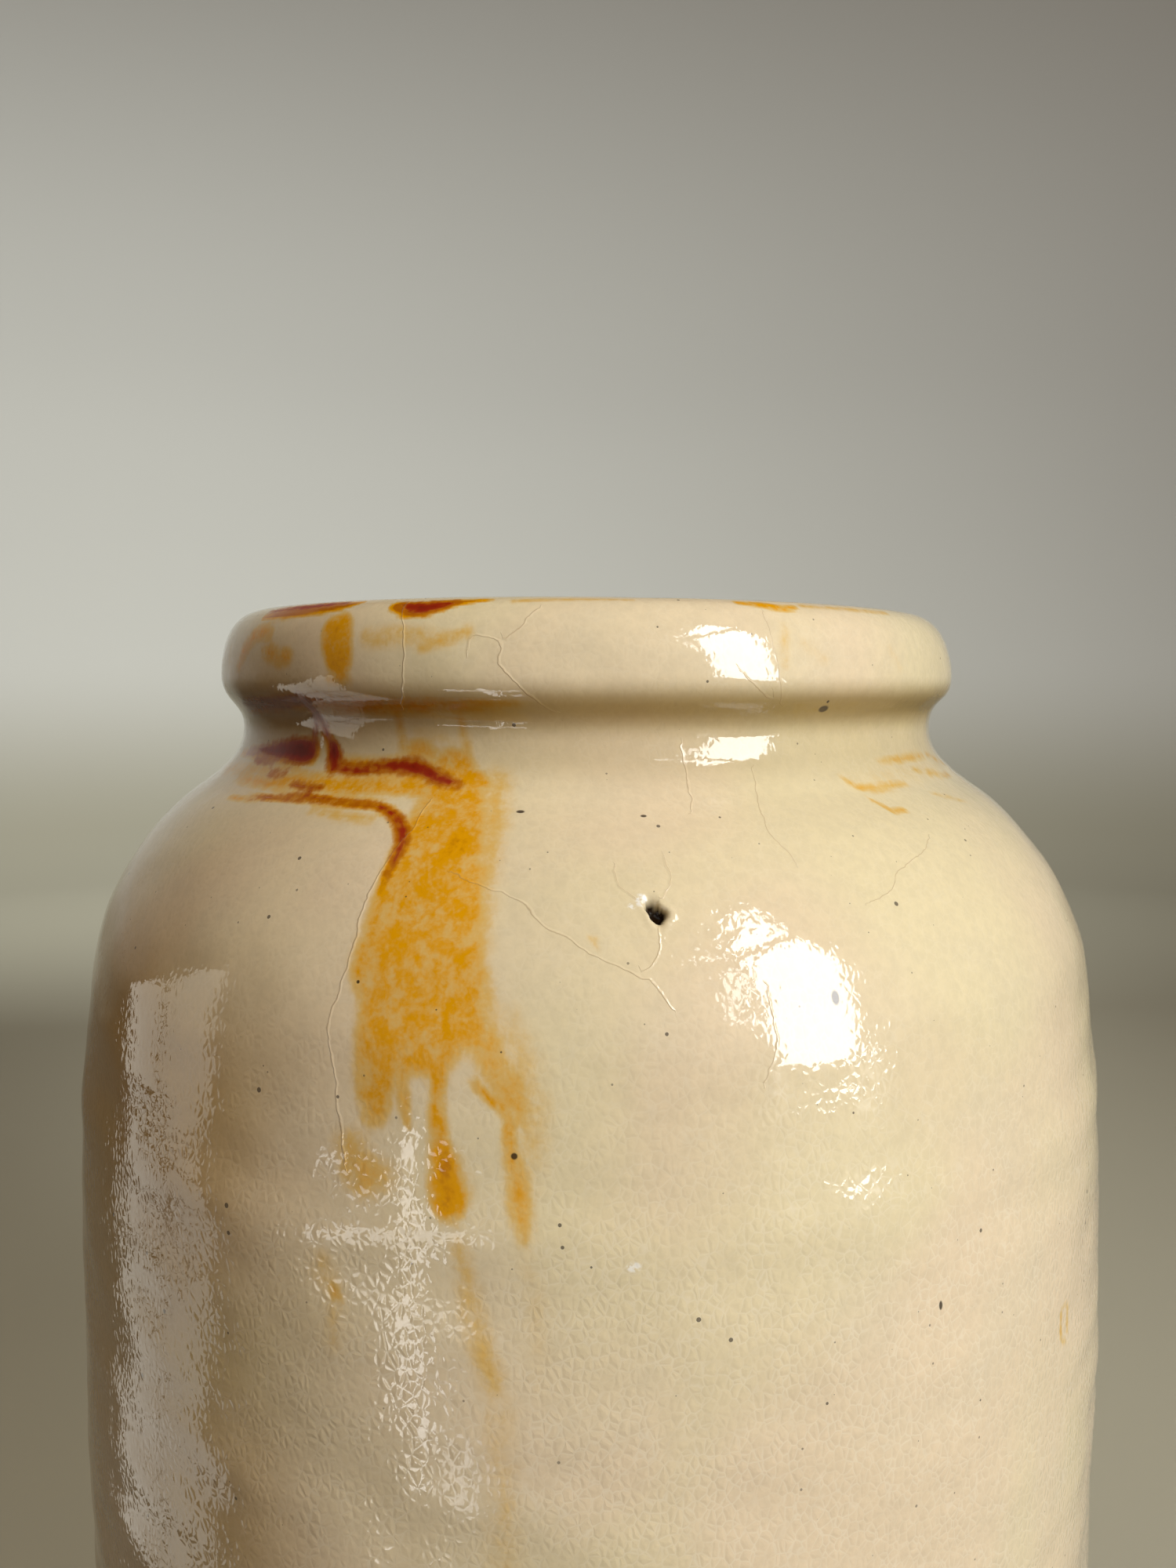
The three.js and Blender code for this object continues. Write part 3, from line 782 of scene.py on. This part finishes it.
def outside_glaze():
    nodes = Nodes("cream_glaze")
    line, pillow = crazing(nodes, CRAZE_SIZE, 0.75, (1, 1, 0.78))
    # the net shows most low on the body and fades on the shoulder
    height = nodes.height()
    low = nodes.fit(height, 150, 192, 1.0, 0.35)
    patchy = nodes.fit(nodes.noise(3.2, 3).outputs["Fac"], 0.34, 0.60, 0.35, 1.0)
    net = nodes.math("MULTIPLY", low, patchy)
    craze = nodes.math("MULTIPLY", nodes.math("MULTIPLY", line, net), 0.38)
    colour = nodes.mix(craze, cream(nodes), CRAZE_PALE)
    # painted shade: the glaze is made browner on the left of the runs, the side turned away from the window
    # light
    sideways = nodes.add("ShaderNodeSeparateXYZ", {0: nodes.shifted(26, 30)}).outputs["X"]
    left_shade = nodes.math("MULTIPLY", nodes.fit(sideways, -58, -24, 1, 0), nodes.fit(height, 176, 194, 1, 0.25))
    colour = nodes.mix(left_shade, colour, SHADE_BROWN, "MULTIPLY")
    colour = rusted(nodes, colour)
    # the glaze gathered thick and olive in the groove under the lip, and thinner down the neck; the band is
    # also painted shade, darker in the groove and down the neck under the lip's overhang
    pool_and_shade_rise = nodes.fit(height, 212.6, GROOVE_Z, 0.30, 0.95)
    ends = nodes.fit(height, GROOVE_Z + 0.3, 220.8, 1, 0)
    pooled_and_shade = nodes.math("MULTIPLY", pool_and_shade_rise, ends)
    pooled_and_shade = nodes.math("MULTIPLY", pooled_and_shade, nodes.fit(height, 206.4, 211.0))
    colour = nodes.mix(pooled_and_shade, colour, POOLED_OLIVE_AND_SHADE, "MULTIPLY")

    # long cracks: a dark hair with a pale raised edge beside it
    side, near = nodes.value("crack_side"), nodes.value("crack_near")
    wander = nodes.fit(nodes.noise(3.4, 3).outputs["Fac"], 0.2, 0.8, -0.34, 0.34)
    across = nodes.math("ADD", side, wander)
    hair = nodes.fit(nodes.math("ABSOLUTE", across), 0.01, 0.07, 1, 0)
    near = nodes.fit(near, 0.75, 1.05, 1, 0)
    hair = nodes.math("MULTIPLY", hair, near)
    step = nodes.math("MULTIPLY", nodes.fit(across, -0.10, 0.01), nodes.fit(across, 0.03, 0.30, 1, 0))
    step = nodes.math("MULTIPLY", step, near)
    colour = nodes.mix(nodes.math("MULTIPLY", hair, 0.42), colour, CRAZE_TAN)

    dots = specks(nodes, 3.4, 0.30, 0.5)
    fine_dots = specks(nodes, 1.7, 0.17, 0.30)
    colour = nodes.mix(nodes.math("MULTIPLY", fine_dots, 0.6), colour, IRON)
    colour = nodes.mix(nodes.math("MULTIPLY", dots, 0.8), colour, IRON)
    dark, pale = nodes.value("pit"), 0.0
    for azimuth, z, radius, stretch in DARK_SPOTS:
        inside = nodes.math("MULTIPLY", spot(nodes, azimuth, z, radius, stretch), 0.93)
        dark = nodes.math("MAXIMUM", dark, inside)
    for azimuth, z, radius, stretch in PALE_CHIPS_AND_GLINT:
        pale = nodes.math("MAXIMUM", pale, spot(nodes, azimuth, z, radius, stretch))
    pale = nodes.math("MULTIPLY", pale, nodes.fit(nodes.noise(0.5, 2).outputs["Fac"], 0.38, 0.55))
    # pale chips, and the painted highlight beside the crater
    colour = nodes.mix(pale, colour, CHIP_AND_GLINT_PALE)
    colour = nodes.mix(nodes.math("MINIMUM", dark, 1.0), colour, PIT_DARK)

    normal = nodes.bump(nodes.noise(5.5, 2).outputs["Fac"], 0.07)
    normal = nodes.bump(nodes.math("MULTIPLY", pillow, net), 0.031, normal)
    normal = nodes.bump(nodes.noise(0.8, 2).outputs["Fac"], 0.010, normal)
    normal = nodes.bump(step, 0.035, normal)
    return finish_glaze(nodes, colour, normal, dull=nodes.fit(nodes.value("red"), -0.6, 0.3, 0, 0.3))


def lining_glaze():
    nodes = Nodes("lining_glaze")
    line, pillow = crazing(nodes, 1.9)
    colour = nodes.mix(0.25, cream(nodes), CREAM_YELLOW)
    height = nodes.height()
    # old contents have stained the floor and left faint tide lines on the wall
    wavy = nodes.math("ADD", height, nodes.fit(nodes.noise(30, 3).outputs["Fac"], 0.2, 0.8, -14, 14))
    stain = nodes.fit(wavy, 14, 58, 0.75, 0.0)
    tide = nodes.math("MULTIPLY", nodes.fit(wavy, 96, 101), nodes.fit(wavy, 101, 112, 0.30, 0))
    grain = nodes.fit(nodes.noise(7, 4).outputs["Fac"], 0.3, 0.7, 0.4, 1.0)
    stain = nodes.math("MULTIPLY", nodes.math("MAXIMUM", stain, tide), grain)
    colour = nodes.mix(stain, colour, CONTENTS_BROWN)
    colour = nodes.mix(nodes.math("MULTIPLY", line, 0.30), colour, CRAZE_TAN)
    colour = nodes.mix(nodes.math("MULTIPLY", specks(nodes, 3.2, 0.45, 0.2), 0.7), colour, IRON)
    colour = rusted(nodes, colour)
    normal = nodes.bump(nodes.noise(6, 2).outputs["Fac"], 0.12)
    normal = nodes.bump(pillow, 0.022, normal)
    return finish_glaze(nodes, colour, normal, 0.17)


def base_glaze():
    nodes = Nodes("base_glaze")
    line, pillow = crazing(nodes, 1.6)
    dirt = nodes.fit(nodes.noise(11, 5, roughness=0.62).outputs["Fac"], 0.47, 0.68, 0, 0.6)
    colour = nodes.mix(dirt, cream(nodes), BASE_DIRT)
    colour = nodes.mix(nodes.math("MULTIPLY", line, 0.55), colour, CRAZE_TAN)
    colour = nodes.mix(nodes.math("MULTIPLY", specks(nodes, 3.0, 0.5, 0.25), 0.75), colour, IRON)
    normal = nodes.bump(nodes.noise(4, 3).outputs["Fac"], 0.14)
    normal = nodes.bump(pillow, 0.03, normal)
    return finish_glaze(nodes, colour, normal, 0.22)


def fired_clay():
    """Bare buff earthenware, dirty and rubbed, browner in its grain."""
    nodes = Nodes("fired_clay")
    height = nodes.height()
    grain = nodes.fit(nodes.noise(1.1, 5, roughness=0.7).outputs["Fac"], 0.3, 0.7)
    colour = nodes.mix(grain, CLAY_DARK, CLAY_LIGHT)
    rust = nodes.fit(nodes.noise(9, 3).outputs["Fac"], 0.42, 0.62)
    top = nodes.fit(height, HEIGHT - 4, HEIGHT - 2)
    rust = nodes.math("MULTIPLY", rust, nodes.math("MULTIPLY", top, 0.9))
    colour = nodes.mix(rust, colour, CREST_RUST)
    dirt = nodes.fit(nodes.noise(3.2, 4).outputs["Fac"], 0.50, 0.70, 0, 0.65)
    colour = nodes.mix(dirt, colour, CLAY_DIRT)
    pores = specks(nodes, 1.3, 0.32, 0.3)
    colour = nodes.mix(nodes.math("MULTIPLY", pores, 0.8), colour, PORE_DARK)
    rubbed = nodes.fit(height, 0.1, 0.7, 0.45, 0.0)
    colour = nodes.mix(rubbed, colour, RUBBED_PALE)
    nodes.plug(nodes.shader.inputs["Base Color"], colour)
    nodes.plug(nodes.shader.inputs["Roughness"], nodes.fit(dirt, 0, 0.6, 0.68, 0.88))
    normal = nodes.bump(nodes.noise(0.7, 4, roughness=0.7).outputs["Fac"], 0.12)
    normal = nodes.bump(pores, -0.12, normal)
    nodes.plug(nodes.shader.inputs["Normal"], normal)
    return nodes.material


# ---------------------------------------------------------------- the pieces

NOSE = (0.25 * math.pi, 0.5 * math.pi, 0.75 * math.pi)  # steps round a coat's rolled edge
HIDDEN_SHARE = 0.12  # of the texture's height, for a band that is never seen


def glaze_outside():
    """The coat on the outside: its seen surface, the roll at the foot, the hidden side, the crest edge."""
    azimuth = columns(386)[None, :]
    fine = np.linspace(0, OUTSIDE.length, 4001)
    crater_s = float(OUTSIDE.s_of_z(CRATER_Z))
    top_end = 158
    density = 1 - 0.72 * rise(fine, top_end - 12, top_end + 6) + 3.6 * bump(fine, crater_s, 1.1)
    density = density + 1.2 * bump(fine, 0, 4) + 1.5 * bump(fine, OUTSIDE.length, 4)
    start, end = 0.35, OUTSIDE.length - 0.6
    fine = start + fine * (end - start) / OUTSIDE.length
    seen = spread(fine, density, 206)[:, None]
    bends = 1.6 * (1 - rise(fine, 24, 34)) + 6 * bump(fine, crater_s, 1.6) + bump(fine, end, 5)
    hidden = spread(fine, 0.28 + bends, 52)[::-1, None]

    def level(s):
        """Where a row runs: the glaze line at the foot and the worn edge at the crest wander."""
        foot = 0.55 * edge_lumps(azimuth, 0) + 0.25 * fine_lumps(azimuth, 7)
        worn = 0.22 + 0.22 * edge_lumps(azimuth, 90) + 0.10 * fine_lumps(azimuth, 50)
        at_foot, at_crest = rise(s, end - 14, end), 1 - rise(s, start, start + 2.5)
        return s - (0.6 + foot) * at_foot + np.clip(worn, 0, 1) * at_crest

    def points(s, depth, grow):
        """Points at rows s and depth into the coat, dented at the crater."""
        s = level(s)
        roll = 0.38 * bump(s, level(np.full((1, 1), end)) - 1.1, 1.2)
        z = OUTSIDE.at(s)[1]
        depth = depth + (crater(azimuth, z, grow) if grow is not None else 0)
        if grow == 0:
            depth = depth - roll
        r, z = OUTSIDE.at(s, depth)
        return place(r, z, azimuth, outside_wander)

    half = COAT / 2
    foot_nose = [points(np.full((1, 1), end + half * math.sin(t)), half - half * math.cos(t), 0)
                 for t in NOSE]
    crest_nose = [points(np.full((1, 1), start - half * math.sin(t)), half + half * math.cos(t), 0)
                  for t in NOSE]
    grid = np.concatenate([points(seen, 0.0, 0), *foot_nose, points(hidden, COAT, 0.15), *crest_nose])
    shares = [1.0] * (len(seen) + 3) + [HIDDEN_SHARE] * (len(hidden) + 3)
    piece = turned_piece("glaze_outside", grid, shares, outside_glaze())

    s = np.broadcast_to(level(seen), (len(seen), azimuth.size))
    r, z = OUTSIDE.at(s)
    marks = Marks(np.broadcast_to(azimuth, s.shape), s, r)
    side, near = marks.cracks(CRACKS)
    hole = crater(azimuth, z)
    add_values(piece, "amber", marks.stain((*AMBER, amber_ring())))
    add_values(piece, "red", marks.edge(RED), -3.0)
    add_values(piece, "crack_side", side, 3.0)
    add_values(piece, "crack_near", near, 3.0)
    add_values(piece, "pit", rise(hole, 0.35, 1.1))
    return piece


def glaze_lining():
    """The coat inside: from the middle of the floor up the wall to the crest, and back behind."""
    azimuth = columns(260, 0)[None, :]
    start, end = 0.30, INSIDE.length - 0.6
    fine = np.linspace(start, end, 3001)
    density = 1 + 1.4 * bump(fine, start, 5) + 0.8 * bump(fine, INSIDE.length - 66, 14)
    seen = spread(fine, density, 170)[::-1, None]
    hidden = spread(fine, np.ones_like(fine), 44)[:, None]
    worn = np.clip(0.20 + 0.20 * edge_lumps(azimuth, 140) + 0.10 * fine_lumps(azimuth, 20), 0, 1)

    def points(s, depth):
        s = s + worn * (1 - rise(s, start, start + 2.5))
        r, z = INSIDE.at(s, depth)
        return place(r, z, azimuth, inside_wander)

    half = COAT / 2
    nose = [points(np.full((1, 1), start - half * math.sin(t)), half - half * math.cos(t)) for t in NOSE]
    grid = np.concatenate([points(seen, 0.0), *nose, points(hidden, COAT)])
    shares = [1.0] * (len(seen) + 3) + [HIDDEN_SHARE] * (len(hidden) + 1)
    piece = turned_piece("glaze_lining", grid, shares, lining_glaze(),
                         (0, 0, FLOOR_Z), (0, 0, FLOOR_Z - COAT))

    # brown creeps over the crest into the mouth in a few places
    s = np.broadcast_to(seen, (len(seen), azimuth.size))
    edge = 1 - rise(s, 1.5, 6 + 3 * np.clip(edge_lumps(azimuth, 30), -1, 1))
    add_values(piece, "amber", edge * np.clip(0.25 + 0.75 * edge_lumps(azimuth, 60), 0, 1.2))
    add_values(piece, "red", np.full(s.size, -3.0), -3.0)
    return piece


def glaze_under_base():
    """The coat in the hollow of the base: its hidden side first, then the side that faces down."""
    azimuth = np.linspace(-180, 180, 181)[None, :-1]
    start, end = 0.25, BASE.length - 0.6
    fine = np.linspace(start, end, 1001)
    rows = spread(fine, 1 + 5 * bump(fine, start, 4), 40)[:, None]

    def points(s, depth):
        ripple = 0.07 * inner_lumps(azimuth, 3 * s) * rise(s, 4, 12)
        r, z = BASE.at(s, depth + ripple)
        return place(r, z, azimuth, inside_wander)

    half = COAT / 2
    nose = [points(np.full((1, 1), start - half * math.sin(t)), half + half * math.cos(t)) for t in NOSE]
    grid = np.concatenate([points(rows[::-1], COAT), *nose, points(rows, 0.0)])
    shares = [HIDDEN_SHARE] * (len(rows) + 2) + [1.0] * (len(rows) + 2)
    return turned_piece("glaze_under_base", grid, shares, base_glaze(),
                        (0, 0, RECESS_Z + COAT), (0, 0, RECESS_Z))


def fired_body():
    """The clay pot itself, seen only at the crest and on the foot ring."""
    azimuth = columns(250, 0.45)[None, :]
    under = COAT + BEDDING
    crater_s = float(OUTSIDE.s_of_z(CRATER_Z))
    inner = np.linspace(INSIDE.length - 0.6, 1.5, 70)
    fine = np.linspace(1.5, OUTSIDE.length - 1.0, 3001)
    outer = spread(fine, 0.4 + 1.6 * (1 - rise(fine, 24, 34)) + 5 * bump(fine, crater_s, 1.8), 120)
    base = spread(np.linspace(0.6, BASE.length - 0.6, 501), np.ones(501), 24)

    r_in, z_in = INSIDE.at(inner[-1], under)
    r_out, z_out = OUTSIDE.at(outer[0], under)
    crest = Outline(float(r_in), float(z_in))
    crest.curve((r_in + 0.1, HEIGHT - 0.35), (48.6, HEIGHT - 0.06), (49.6, HEIGHT - 0.06), 8)
    crest.curve((50.8, HEIGHT - 0.06), (r_out - 0.9, z_out + 0.28), (float(r_out), float(z_out)), 8)
    r_heel, z_heel = OUTSIDE.at(outer[-1], under)
    r_hollow, z_hollow = BASE.at(base[0], under)
    foot = Outline(float(r_heel), float(z_heel))
    foot.curve((r_heel - 1.2, z_heel - 0.7), (FOOT_OUTER_RADIUS, 4.6), (FOOT_OUTER_RADIUS, 3.4), 5)
    foot.line(FOOT_OUTER_RADIUS, FOOT_EDGE, 3)
    foot.curve((FOOT_OUTER_RADIUS, 0.2), (FOOT_OUTER_RADIUS - 0.2, 0), (FOOT_OUTER_RADIUS - FOOT_EDGE, 0), 4)
    foot.line(FOOT_INNER_RADIUS, 0, 6)
    foot.curve((FOOT_INNER_RADIUS - 0.4, 0), (FOOT_INNER_RADIUS - 0.7, 0.3),
               (FOOT_INNER_RADIUS - FOOT_EDGE, FOOT_EDGE), 4)
    foot.line(float(r_hollow), float(z_hollow), 3)

    def points(r, z, wander):
        return place(r, z, azimuth, wander)

    def outline_points(outline, s, depth, wander):
        r, z = outline.at(s[:, None], depth)
        return points(r, z, wander)

    def path_points(path, wander, rough):
        r, z = np.array(path.points[1:-1]).T[..., None]
        chips = rough * (0.5 + 0.5 * fine_lumps(azimuth, 31 * z)) * (z < FOOT_EDGE + 0.01)
        return points(r - np.sign(r - 64) * chips, z, wander)

    outer_z = OUTSIDE.at(outer[:, None])[1]
    dent = crater(azimuth, outer_z, 0.3)
    grid = np.concatenate([
        outline_points(INSIDE, inner, under, inside_wander),
        path_points(crest, outside_wander, 0),
        outline_points(OUTSIDE, outer, under + dent, outside_wander),
        path_points(foot, inside_wander, 0.25),
        outline_points(BASE, base, under, inside_wander),
    ])
    shares = np.full(len(grid) + 1, HIDDEN_SHARE)
    first_crest = len(inner)
    first_foot = len(inner) + len(crest.points) - 2 + len(outer)
    shares[first_crest:first_crest + len(crest.points)] = 1.0
    shares[first_foot:first_foot + len(foot.points)] = 1.0
    return turned_piece("fired_body", grid, shares, fired_clay(),
                        (0, 0, FLOOR_Z - under), (0, 0, RECESS_Z + under))


PIECES = (
    (glaze_outside, "outer_glaze", "cream_glaze"),
    (glaze_lining, "inner_glaze", "lining_glaze"),
    (glaze_under_base, "base_glaze", "cream_glaze"),
    (fired_body, "clay_body", "fired_clay"),
)
for make, node, slot in PIECES:
    piece = make()
    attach(piece, "root")
    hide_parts(node)


# ---------------------------------------------------------------- the stage

STAGE_RADIUS, STAGE_HEIGHT, STAGE_BEND = 1.7, 1.5, 0.5  # metres


def backdrop_material():
    nodes = Nodes("pale_backdrop")
    height = nodes.height()
    tone = nodes.fit(height, 15, 260)
    uneven = nodes.fit(nodes.noise(900, 1).outputs["Fac"], 0.3, 0.7, -0.04, 0)
    tone = nodes.math("ADD", tone, uneven)
    nodes.plug(nodes.shader.inputs["Base Color"], nodes.mix(tone, BACKDROP_LOW, BACKDROP_HIGH))
    nodes.shader.inputs["Roughness"].default_value = 0.9
    nodes.shader.inputs["Specular IOR Level"].default_value = 0.15
    return nodes.material


def add_stage():
    """A pale round floor that curves up into a wall, so every view has the same plain ground."""
    turns, steps = 96, 12
    radii = [0.35, 0.8, STAGE_RADIUS - STAGE_BEND]
    rows = [(r, 0.0) for r in radii]
    for t in np.linspace(0, math.pi / 2, steps + 1)[1:]:
        rows.append((STAGE_RADIUS - STAGE_BEND + STAGE_BEND * math.sin(t),
                     STAGE_BEND - STAGE_BEND * math.cos(t)))
    rows.append((STAGE_RADIUS, STAGE_HEIGHT))
    points = [(0, 0, 0)]
    for r, z in rows:
        points += [(r * math.sin(a), r * math.cos(a), z) for a in np.arange(turns) * 2 * math.pi / turns]
    faces = [(0, 1 + (j + 1) % turns, 1 + j) for j in range(turns)]
    for i in range(len(rows) - 1):
        for j in range(turns):
            a, b = 1 + i * turns + j, 1 + i * turns + (j + 1) % turns
            faces.append((a, b, b + turns, a + turns))
    mesh = bpy.data.meshes.new("floor")
    mesh.from_pydata(points, [], faces)
    mesh.polygons.foreach_set("use_smooth", [True] * len(faces))
    mesh.materials.append(backdrop_material())
    floor = bpy.data.objects.new("floor", mesh)
    bpy.context.scene.collection.objects.link(floor)
    floor.visible_diffuse = False


# Daylight reaches the jar from a divided window on the right, a flat sheet that faces the shoulder.
# Outlines on it are in metres, first sideways and then up from its middle. The jar mirrors it, so
# sideways is towards the left of the highlight.
AIM = Vector((0.045, -0.058, 0.190))
WINDOW_AZIMUTH, WINDOW_ELEVATION, WINDOW_DISTANCE = 45, 22, 0.9


def window_sheet(name, outlines, radiance, colour):
    a, e = math.radians(WINDOW_AZIMUTH), math.radians(WINDOW_ELEVATION)
    forward = Vector((math.sin(a) * math.cos(e), -math.cos(a) * math.cos(e), math.sin(e)))
    right = forward.cross(Vector((0, 0, 1))).normalized()
    up = right.cross(forward)
    middle = AIM + forward * WINDOW_DISTANCE
    return glow_mesh(name, [[middle + right * x + up * y for x, y in outline] for outline in outlines],
                     radiance, colour)


def glow_mesh(name, outlines, radiance, colour):
    """Flat outlines that glow, unseen by the camera."""
    points, faces = [], []
    for outline in outlines:
        faces.append(tuple(range(len(points), len(points) + len(outline))))
        points += outline
    mesh = bpy.data.meshes.new(name)
    mesh.from_pydata(points, [], faces)
    material = bpy.data.materials.new(name)
    material.use_nodes = True
    tree = material.node_tree
    tree.nodes.clear()
    glow = tree.nodes.new("ShaderNodeEmission")
    glow.inputs["Color"].default_value = (*colour, 1)
    glow.inputs["Strength"].default_value = radiance
    output = tree.nodes.new("ShaderNodeOutputMaterial")
    tree.links.new(glow.outputs[0], output.inputs["Surface"])
    mesh.materials.append(material)
    sheet = bpy.data.objects.new(name, mesh)
    bpy.context.scene.collection.objects.link(sheet)
    sheet.visible_camera = False
    return sheet


# The window's panes: a tall casement, its lower rail, the light above it and the next casement's edge
MAIN_PANE = [(0.115, 0.24), (0.115, -0.36), (-0.185, -0.42), (-0.185, 0.22), (-0.14, 0.35)]
LOWER_RAIL = [(0.15, -0.36), (0.15, -0.39), (-0.245, -0.46), (-0.245, -0.41)]
TOP_PANE = [(0.12, 0.31), (0.12, 0.40), (-0.06, 0.54), (-0.14, 0.41)]
SIDE_PANE = [(0.20, 0.21), (0.15, 0.10), (0.15, -0.02), (0.20, -0.02)]
BAR_PANE = [(0.25, 0.36), (0.17, 0.32), (0.17, 0.28), (0.25, 0.33)]
SILL = [(0.11, -0.42), (-0.18, -0.48), (-0.24, -0.64), (0.14, -0.59)]
SILL_STRIPS = ([(0.175, -0.42), (0.125, -0.41), (0.14, -0.58), (0.19, -0.54)],
               [(-0.20, -0.48), (-0.27, -0.47), (-0.33, -0.64), (-0.25, -0.61)])

add_stage()
window_sheet("window", (MAIN_PANE, LOWER_RAIL, TOP_PANE), 11.6, (1.0, 1.0, 0.98))
window_sheet("window_side", (SIDE_PANE, BAR_PANE), 7.5, (1.0, 1.0, 0.98))
window_sheet("window_strip", SILL_STRIPS, 2.4, (1.0, 0.97, 0.86))
window_sheet("window_sill", (SILL,), 0.6, (1.0, 0.97, 0.80))

# Cards that only show as reflections in the gloss, as a photographer would set them round the jar.
# A divided panel stands beside it on the left: its columns from front to back, its rows by height.
PANEL_X = -0.20
PANEL_COLUMNS = ((-0.080, -0.037), (-0.034, 0.014))
PANEL_ROWS = ((0.132, None), (0.091, 0.129), (0.002, 0.088))
PANEL_TOP, PANEL_TOP_SLOPE = 0.182, -0.5  # the top edge comes down towards the back

# Slim strips in front on the left: azimuth from and to, height from and to, radiance
STRIP_RADIUS = 0.176
STRIPS = (
    (-27.4, -24.8, 0.072, 0.152, 5.5),
    (-21.6, -17.6, 0.060, 0.085, 3.0),
    (-41.5, -14.5, 0.126, 0.138, 3.5),
)


def panel_pane(column, row):
    front, back = column
    low, high = row
    tops = [PANEL_TOP + PANEL_TOP_SLOPE * y if high is None else high for y in column]
    return [(PANEL_X, front, tops[0]), (PANEL_X, front, low), (PANEL_X, back, low), (PANEL_X, back, tops[1])]


def curved_strip(start, end, low, high, pieces=6):
    """Flat pieces side by side on a round of the jar's axis."""
    turns = np.radians(np.linspace(start, end, pieces + 1))
    edge = [(STRIP_RADIUS * math.sin(a), -STRIP_RADIUS * math.cos(a)) for a in turns]
    return [[(*p, low), (*q, low), (*q, high), (*p, high)] for p, q in zip(edge[:-1], edge[1:])]


def add_reflection_cards():
    top = [panel_pane(column, PANEL_ROWS[0]) for column in PANEL_COLUMNS]
    low = [panel_pane(column, row) for row in PANEL_ROWS[1:] for column in PANEL_COLUMNS]
    cards = [glow_mesh("left_panel_top", top, 1.5, (1.0, 0.94, 0.80)),
             glow_mesh("left_panel_low", low, 1.35, (1.0, 0.95, 0.82))]
    for number, (*extent, radiance) in enumerate(STRIPS):
        cards.append(glow_mesh(f"strip_{number}", curved_strip(*extent), radiance, (1.0, 0.97, 0.93)))
    for card in cards:
        card.visible_diffuse = False
        card.visible_shadow = False


add_reflection_cards()

world = bpy.data.worlds.new("World")
bpy.context.scene.world = world
world.use_nodes = True
background = world.node_tree.nodes["Background"]
background.inputs["Color"].default_value = (1.0, 0.45, 0.10, 1)  # a dim warm fill
background.inputs["Strength"].default_value = 0.06
bpy.context.scene.view_settings.view_transform = "Standard"


def add_softbox(name, position, target, size, power, colour, spread=180, glossy=False):
    data = bpy.data.lights.new(name, "AREA")
    data.shape = "RECTANGLE"
    data.size, data.size_y = size
    data.energy = power
    data.color = colour
    data.spread = math.radians(spread)
    box = bpy.data.objects.new(name, data)
    bpy.context.scene.collection.objects.link(box)
    box.location = position
    box.rotation_euler = (Vector(target) - Vector(position)).to_track_quat("-Z", "Y").to_euler()
    box.visible_camera = False
    box.visible_glossy = glossy


add_softbox("wall_wash", (-0.32, 0.60, 0.62), (-0.40, 1.65, 0.52), (1.3, 0.3), 8.0,
            (0.98, 1.0, 0.97), glossy=True)
add_softbox("floor_wash", (-0.1, 0.95, 0.8), (-0.1, 1.1, 0), (1.2, 0.3), 1.8,
            (1.0, 1.0, 0.92), spread=140)
add_softbox("top_soft", (-0.45, -0.2, 1.25), (0, 0, 0.2), (0.6, 0.6), 2.9, (1.0, 0.93, 0.80))
add_softbox("front_soft", (0.42, -0.98, 0.85), (0, 0, 0.15), (0.6, 0.6), 2.2, (1.0, 0.88, 0.68))
add_softbox("back_soft", (0.12, 1.25, 0.36), (0, 0, 0.12), (0.5, 0.5), 1.4,
            (1.0, 0.95, 0.86), spread=34)
